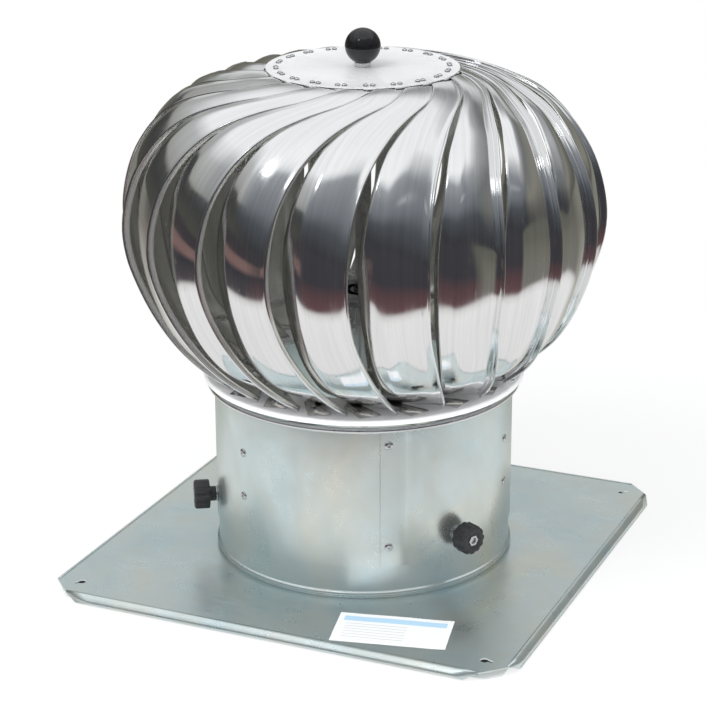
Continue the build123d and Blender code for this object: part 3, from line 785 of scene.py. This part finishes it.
def blade_shape():
    """One blade as a thin sheet: flange, rounded fold and crowned panel, with its lengths
    along and across kept as UV."""
    rows, uvs, down = [], [], 0.0
    for index, (tip, edge, flange, crown) in enumerate(law_rows):
        above = law_rows[max(index - 1, 0)]
        below = law_rows[min(index + 1, len(law_rows) - 1)]
        along = (below[0] + below[1]) - (above[0] + above[1])
        out = along.cross(edge - tip).normalized()
        if out.dot((tip + edge) / 2 - rotor_middle) < 0:
            out = -out
        root = tip - out * flange
        across = (edge - root).normalized()
        if index:
            down += (tip - law_rows[index - 1][0]).length
        fold = min(fold_radius, flange * 0.4)
        hem = min(hem_radius, flange * 0.3)
        middle = tip - (out + across) * hem
        line = []
        for n in range(hem_steps + 1):
            turn = hem_turn * (1 - n / hem_steps)
            line.append(middle + across * hem * math.cos(turn) + out * hem * math.sin(turn))
        line.append(tip - out * (hem + flange - fold) * 0.5)
        for n in range(fold_steps + 1):
            turn = math.pi / 2 * n / fold_steps
            line.append(root + across * fold * (1 - math.cos(turn)) + out * fold * (1 - math.sin(turn)))
        start = root + across * fold
        for share, lift in crown_places():
            line.append(start.lerp(edge, share) + out * crown * lift)
        rows.append(line)
        reach, before, marks = 0.0, line[0], []
        for point in line:
            reach += (point - before).length
            before = point
            marks.append((reach * MM, down * MM))
        uvs.append(marks)
    return rows, uvs


blade_rows, blade_uvs = blade_shape()
blade_body = Shape()
blade_body.grid(blade_rows)
flat_uvs = [mark for row in blade_uvs for mark in row]
foot_corners = ((150.0, 10.3), (157.2, 2.4), (128.0, -4.5), (108.5, -2.7))
foot = [polar(radius, sweep, ring_top + sheet_lift) for radius, sweep in foot_corners]
blade_body.add(foot, [tuple(range(len(foot)))])
flat_uvs += [(point.x * MM, point.y * MM) for point in foot]
tab_z, tab_start, tab_end, tab_half = 498.8, 72, 95, 6
tab_corners = ((tab_start, -tab_half), (tab_start, tab_half), (tab_end, tab_half), (tab_end, -tab_half))
tab = [polar(along, tab_sweep, tab_z) + polar(aside, tab_sweep + 90, 0) for along, aside in tab_corners]
blade_body.add(tab, [(0, 1, 2, 3)])
flat_uvs += [(point.x * MM, point.y * MM) for point in tab]

blade_uv_step = (0.37, 0.61)           # moves the marks on, so that no two blades are alike
for number, azimuth in enumerate(blade_azimuths, start=1):
    turned = Shape()
    rotation = Matrix.Rotation(math.radians(azimuth), 3, "Z")
    turned.add([rotation @ point for point in blade_body.points], blade_body.faces)
    name, stands_for = f"blade_sheet_{number:02d}", [f"blade_{number:02d}"]
    blade = piece(name, turned, bright, "rotor", stands_for, 50, outward=True)
    lay_uvs(blade, flat_uvs, (blade_uv_step[0] * number, blade_uv_step[1] * number))
    blade.data.materials.append(dull)
    sheet = blade.modifiers.new("sheet", "SOLIDIFY")
    sheet.thickness, sheet.offset, sheet.material_offset = blade_sheet * MM, -1, 1

# ---------------------------------------- rotor ring and top disc
ring = Shape()
lip_inner = ring_outer - ring_sheet
outline = [(ring_inner, ring_bottom, 0.3), (lip_inner, ring_bottom, 0.8), (lip_inner, ring_lip, 0)]
outline += [(ring_outer, ring_lip, 0), (ring_outer, ring_top, 2.2), (ring_inner, ring_top, 0.6)]
ring.lathe(rounded(outline, 0.5, 5), 180)
piece("rotor_base_ring", ring, chalky, "rotor", ["rotor_ring"], 45)

disc = Shape()
disc_bore = 3.2
outline = [(disc_bore, disc_bottom), (disc_radius - 0.9, disc_bottom), (disc_radius, 499.6)]
outline += [(93.4, 500.4), (91.5, disc_top), (89.5, 500.1), (60, 500.4), (20, disc_top)]
outline.append((disc_bore, disc_top))
disc.lathe(outline, 128)
piece("rotor_top_disc", disc, mill, "rotor", ["top_disc"], 45)

# ---------------------------------------- ball knob
nut = Shape()
nut_radius, nut_top = 8.0, 505.5
profile = [(disc_bore, disc_top), (7.2, disc_top), (nut_radius, 501.2), (nut_radius, 504.6)]
nut.lathe(profile + [(7.2, nut_top), (disc_bore, nut_top)], 48)
piece("knob_collar_nut", nut, zinc, "rotor", ["collar_nut"], 40)
ball = Shape()
ball_radius, ball_middle, ball_steps = 17.3, 520.4, 32
bolt_bore, bolt_end = 3.05, 517.5
flat_edge = math.radians(31)           # where the ball's round side meets its flat base
profile = [(bolt_bore, bolt_end), (bolt_bore, nut_top)]
for step in range(ball_steps + 1):
    angle = flat_edge + (math.pi - flat_edge) * step / ball_steps
    reach = max(ball_radius * math.sin(angle), 0.001)
    profile.append((reach, ball_middle - ball_radius * math.cos(angle)))
ball.lathe(profile + [(0.001, bolt_end)], 64, closed=False)
piece("black_ball_knob", ball, gloss_black, "rotor", ["ball_knob"], 40, merge=0.01)

# ---------------------------------------- bearings, housings, axle
# Each bearing's top, the top of its housing's flange, and the radius of the axle in it.
bearings = ((271.5, 275.5, 8.0), (481.0, disc_bottom, 6.0))
bearing_height, bearing_radius, housing_radius, housing_bore = 10, 16.0, 20.0, 12.5
flange_half, flange_sheet = 32, 3.0
housing, inner_rings, outer_rings = Shape(), Shape(), Shape()
flange_corners = [(-flange_half, -flange_half), (flange_half, -flange_half)]
flange_corners += [(flange_half, flange_half), (-flange_half, flange_half)]
square = rounded(flange_corners, 6.0, 5)
seat = upright_frame(arm_azimuth, 0, 0)
for top, flange_top, axle_radius in bearings:
    bottom = top - bearing_height
    outline = [(bearing_radius, bottom, 0.3), (housing_radius, bottom, 0.8)]
    outline += [(housing_radius, flange_top, 0), (housing_bore, flange_top, 0.4)]
    outline += [(housing_bore, top, 0.2), (bearing_radius, top, 0)]
    housing.lathe(rounded(outline, 0.4, 3), 64)
    loops = []
    for z in (flange_top - flange_sheet, flange_top):
        loops.append([seat @ Vector((x, y, z)) for x, y in square])
        bore = []
        for x, y in square:
            reach = housing_bore / math.hypot(x, y)
            bore.append(seat @ Vector((x * reach, y * reach, z)))
        loops.append(bore)
    low_edge, low_bore, high_edge, high_bore = loops
    housing.grid([low_edge, low_bore, high_bore, high_edge], True, True)
    race = [(axle_radius, bottom), (9.6, bottom), (9.6, top), (axle_radius, top)]
    inner_rings.lathe(rounded(race, 0.3, 2), 64)
    shell = [(9.7, bottom + 0.4), (13.6, bottom + 0.4), (13.6, bottom), (bearing_radius, bottom)]
    shell += [(bearing_radius, top), (13.6, top), (13.6, top - 0.4), (9.7, top - 0.4)]
    outer_rings.lathe(shell, 64)
piece("bearing_housing_shells", housing, enamel, "rotor", ["bearing_housings"], 40)
piece("bearing_inner_races", inner_rings, ground, "neck", ["bearing_inner_rings"], 40)
piece("bearing_shields", outer_rings, ground, "rotor", ["bearing_outer_rings"], 40)

axle = Shape()
thread_radius, shaft_radius, chamfer_radius = 6.0, 8.0, 5.2
axle_bottom, shaft_bottom, shaft_top, axle_top = 129.5, 148.5, 471.0, 492.0
outline = [(0.001, axle_bottom), (chamfer_radius, axle_bottom), (thread_radius, axle_bottom + 0.8)]
outline += [(thread_radius, shaft_bottom), (shaft_radius, shaft_bottom), (shaft_radius, shaft_top)]
outline += [(thread_radius, shaft_top), (thread_radius, axle_top - 0.8), (chamfer_radius, axle_top)]
axle.lathe(outline + [(0.001, axle_top)], 48, closed=False)
piece("turned_axle", axle, ground, "neck", ["axle"], 35, merge=0.01)

refinish(galvanised, "spider_arm_1", "spider_arm_2", "spider_arm_3", "spider_hub")
refinish(zinc, "hub_rivets", "axle_nuts", "arm_screws", "knob_bolt", "clamp_studs")
refinish(zinc, *[f"rotor_arm_{number}" for number in range(1, arm_count + 1)])
for node in nodes.values():
    if not node.hide_render:
        node.data.shade_smooth()
        node.data.set_sharp_from_angle(angle=math.radians(30))

# ---------------------------------------- blank paper label
label = Shape()
label_middle, label_turn = Vector((111.5, -191.0, plate_top)), math.radians(12.5)
label_width, label_depth, label_columns, label_rows = 110.0, 60.0, 22, 12
label_lift, label_least, label_wave, label_curl, curl_start = 0.25, 0.12, 0.2, 3.6, 0.9
label_uvs, rows = [], []
for row in range(label_rows + 1):
    line = []
    for column in range(label_columns + 1):
        across, down = column / label_columns, row / label_rows
        wave = label_wave * math.sin(across * 9) * math.sin(down * 5)
        curl = label_lift + label_curl * max(0.0, across - curl_start) + wave
        spot = Vector(((across - 0.5) * label_width, (down - 0.5) * label_depth, 0))
        spot.rotate(Matrix.Rotation(label_turn, 3, "Z"))
        line.append(label_middle + spot + Vector((0, 0, max(label_least, curl))))
        label_uvs.append((across, down))
    rows.append(line)
label.grid(rows)
sticker = piece("blank_paper_label", label, paper, "base")
lay_uvs(sticker, label_uvs)

# ---------------------------------------- floor and studio
# The camera sees a white floor and background. The bright sheet metal mirrors a studio that
# only glossy rays see. It stands still around the part, with its sides counted from here.
camera_azimuth = 23.4
floor_reach = 9000.0
floor = Shape()
floor.grid([[Vector((x * floor_reach, y * floor_reach, 0)) for x in (-1, 1)] for y in (-1, 1)])
ground_mesh = bpy.data.meshes.new("floor")
ground_mesh.from_pydata([point * MM for point in floor.points], [], floor.faces)
stand("floor", ground_mesh)

white = (1.0, 1.0, 1.0)
# The second tone is painted shade: a near-black floor colour below the plate, where its holes show the
# floor.
floor_tone, painted_hole_shade = (0.92, 0.92, 0.92), (0.03, 0.03, 0.03)
stage = Finish("studio_floor", floor_tone, metallic=0.0, roughness=0.9)
output = stage.tree.nodes["Material Output"]
path = stage.node("ShaderNodeLightPath")
position = stage.node("ShaderNodeNewGeometry").outputs["Position"]

# Metres from the part's axis. The floor's tones lie in ovals, wider to the sides.
oval_width, ramp_reach = 0.74, 3.0
ahead_reach = stage.along(position, camera_azimuth)
aside_reach = stage.along(position, camera_azimuth + 90)
narrowed = stage.maths("MULTIPLY", aside_reach, oval_width)
ahead_square = stage.maths("MULTIPLY", ahead_reach, ahead_reach)
aside_square = stage.maths("MULTIPLY", narrowed, narrowed)
span = stage.maths("POWER", stage.maths("ADD", ahead_square, aside_square), 0.5)
away = stage.maths("DIVIDE", span, ramp_reach)
white_sheet = ((0.0, (0.78, 0.78, 0.77)), (0.17, (0.86, 0.86, 0.85)), (0.19, (0.74, 0.72, 0.71)))
front_floor = stage.ramp(
    away, *white_sheet,
    (0.205, (0.13, 0.07, 0.075)),
    (0.27, (0.10, 0.06, 0.065)),
    (0.36, (0.05, 0.048, 0.055)),
)
left_floor = stage.ramp(
    away, *white_sheet,
    (0.205, (0.08, 0.07, 0.075)),
    (0.34, (0.04, 0.042, 0.05)),
    (0.42, (0.22, 0.14, 0.13)),
    (0.62, (0.20, 0.13, 0.12)),
    (0.70, (0.05, 0.045, 0.05)),
)
other_floor = stage.ramp(
    away, *white_sheet,
    (0.205, (0.20, 0.19, 0.17)),
    (0.40, (0.17, 0.168, 0.14)),
    (0.80, (0.13, 0.13, 0.11)),
)
least_span = stage.maths("MAXIMUM", span, 0.01)
leftward = stage.maths("DIVIDE", aside_reach, least_span)
forward = stage.maths("DIVIDE", ahead_reach, least_span)
back_floor = stage.ramp(
    away,
    (0.0, (0.78, 0.78, 0.77)),
    (0.12, (0.60, 0.595, 0.55)),
    (0.2, (0.44, 0.435, 0.385)),
    (0.5, (0.22, 0.218, 0.185)),
)
tint = stage.mix(stage.spread(leftward, 0.0, 1.0, -0.75, -0.95), front_floor, left_floor)
tint = stage.mix(stage.spread(leftward, 0.0, 1.0, 0.8, 0.97), tint, other_floor)
tint = stage.mix(stage.spread(forward, 0.0, 1.0, -0.4, -0.7), tint, back_floor)

# Metres again: below the plate the floor doesn't glow, and where the holes show it the floor is coloured
# near-black as painted shade.
# Beside the plate it is partly lit, to keep the part's shadow, and far off it is all white.
plate_cover, cut_cover = 0.232, 0.436
shadow_share, shadow_start, shadow_end = 0.3, 0.55, 1.2
lit = stage.shader.outputs["BSDF"]
axes = stage.axes(position)
reach_x = stage.maths("ABSOLUTE", axes["X"])
reach_y = stage.maths("ABSOLUTE", axes["Y"])
under_plate = stage.maths("LESS_THAN", stage.maths("MAXIMUM", reach_x, reach_y), plate_cover)
inside_cuts = stage.maths("LESS_THAN", stage.maths("ADD", reach_x, reach_y), cut_cover)
painted_shade_below_holes = stage.maths("MULTIPLY", under_plate, inside_cuts)
stage.colour(stage.mix(painted_shade_below_holes, floor_tone, painted_hole_shade))
fading = stage.spread(span, shadow_share, 0.0, shadow_start, shadow_end)
shaded = stage.maths("MAXIMUM", under_plate, fading)
seen = stage.blend(shaded, stage.emission(white), lit)
glossy = stage.blend(path.outputs["Is Glossy Ray"], lit, stage.emission(tint))
final = stage.blend(path.outputs["Is Camera Ray"], glossy, seen)
stage.link(final, output.inputs["Surface"])
ground_mesh.materials.append(stage.material)

world = bpy.data.worlds.new("studio")
bpy.context.scene.world = world
world.use_nodes = True
sky = NodeTree(world.node_tree)
sky.tree.nodes.clear()
path = sky.node("ShaderNodeLightPath")
direction = sky.node("ShaderNodeTexCoord").outputs["Generated"]
height = sky.spread(sky.axes(direction)["Z"], 0.0, 1.0, -1.0, 1.0)


def towards(azimuth, low, high):
    """From 0 to 1 as a ray's direction turns to an azimuth, its cosine going from low to high."""
    return sky.spread(sky.along(direction, azimuth), 0.0, 1.0, low, high)


# What glossy rays see of the room on each side of the part, from level (0.5) to straight up (1).
front_room = sky.ramp(
    height,
    (0.5, (0.045, 0.045, 0.05)),
    (0.60, (0.075, 0.083, 0.093)),
    (0.70, (0.17, 0.185, 0.205)),
    (0.80, (0.23, 0.245, 0.265)),
    (0.87, (0.32, 0.335, 0.35)),
    (0.895, (0.78, 0.80, 0.82)),
    (0.92, (1.0, 1.0, 1.0)),
)
left_room = sky.ramp(
    height,
    (0.5, (0.07, 0.069, 0.062)),
    (0.60, (0.05, 0.052, 0.05)),
    (0.665, (0.07, 0.072, 0.068)),
    (0.69, (0.34, 0.34, 0.32)),
    (0.82, (0.50, 0.51, 0.51)),
    (0.90, (0.95, 0.96, 0.97)),
)
right_room = sky.ramp(
    height,
    (0.5, (0.10, 0.098, 0.09)),
    (0.60, (0.24, 0.235, 0.20)),
    (0.70, (0.17, 0.175, 0.175)),
    (0.78, (0.42, 0.43, 0.44)),
    (0.84, (0.95, 0.96, 0.97)),
)
back_room = sky.ramp(
    height,
    (0.5, (0.13, 0.128, 0.108)),
    (0.59, (0.19, 0.188, 0.165)),
    (0.63, (0.66, 0.68, 0.68)),
    (0.695, (0.86, 0.88, 0.88)),
    (0.73, (0.34, 0.355, 0.355)),
    (0.80, (0.30, 0.31, 0.31)),
    (0.88, (0.62, 0.63, 0.635)),
    (0.93, (0.92, 0.93, 0.94)),
)
sides = sky.mix(towards(camera_azimuth + 90, -0.35, 0.35), left_room, right_room)
ahead_room = sky.mix(towards(camera_azimuth + 10, 0.1, 0.5), sides, front_room)
mirrored = sky.mix(towards(camera_azimuth + 180, 0.80, 0.93), ahead_room, back_room)
window = sky.maths(
    "MULTIPLY",
    towards(camera_azimuth + 42, 0.80, 0.90),
    sky.ramp(height, (0.755, 0.0), (0.78, 1.0), (0.83, 1.0), (0.85, 0.0)),
)
window_tone, room_light = (0.95, 0.97, 1.0), (0.82, 0.83, 0.84)
mirrored = sky.mix(window, mirrored, window_tone)
glossy = sky.blend(path.outputs["Is Glossy Ray"], sky.emission(room_light), sky.emission(mirrored))
clear = sky.blend(path.outputs["Is Camera Ray"], glossy, sky.emission(white))
sky.link(clear, sky.node("ShaderNodeOutputWorld").inputs["Surface"])


def lamp(name, azimuth, elevation, distance, size, power, shown=True):
    """A square soft box that faces the part. One that isn't shown has no reflection."""
    light = bpy.data.lights.new(name, "AREA")
    light.energy, light.size = power, size
    made = stand(name, light)
    target = Vector((0, 0, 0.25))
    rise = math.radians(elevation)
    made.location = target + polar(distance * math.cos(rise), azimuth, distance * math.sin(rise))
    made.rotation_euler = (target - made.location).to_track_quat("-Z", "Y").to_euler()
    made.visible_glossy = shown


lamp("key_box", -30, 52, 2.4, 1.2, 30, shown=False)
lamp("fill_box", 80, 40, 2.6, 1.0, 12, shown=False)
lamp("low_box", 23, 14, 2.4, 1.1, 16, shown=False)
lamp("glint_box", -12, 50, 2.3, 0.32, 1.6)

# ---------------------------------------- camera
lens_data = bpy.data.cameras.new("camera")
lens_data.lens, lens_data.sensor_width = 113.67, 36.0
lens_data.clip_start, lens_data.clip_end = 0.05, 50.0
camera = stand("camera", lens_data)
camera_reach, camera_rise = 2.1075, 0.963
pan, tilt, roll = -0.005, 0.344, -0.004
ahead = Vector((math.sin(pan) * math.cos(tilt), math.cos(pan) * math.cos(tilt), -math.sin(tilt)))
ahead.rotate(Matrix.Rotation(math.radians(camera_azimuth), 3, "Z"))
side = ahead.cross(Vector((0, 0, 1))).normalized()
rise = side.cross(ahead)
right = side * math.cos(roll) + rise * math.sin(roll)
up = rise * math.cos(roll) - side * math.sin(roll)
camera.matrix_world = Matrix((right, up, -ahead)).transposed().to_4x4()
camera.matrix_world.translation = polar(camera_reach, camera_azimuth, camera_rise)
bpy.context.scene.camera = camera
bpy.context.scene.view_settings.view_transform = "Standard"
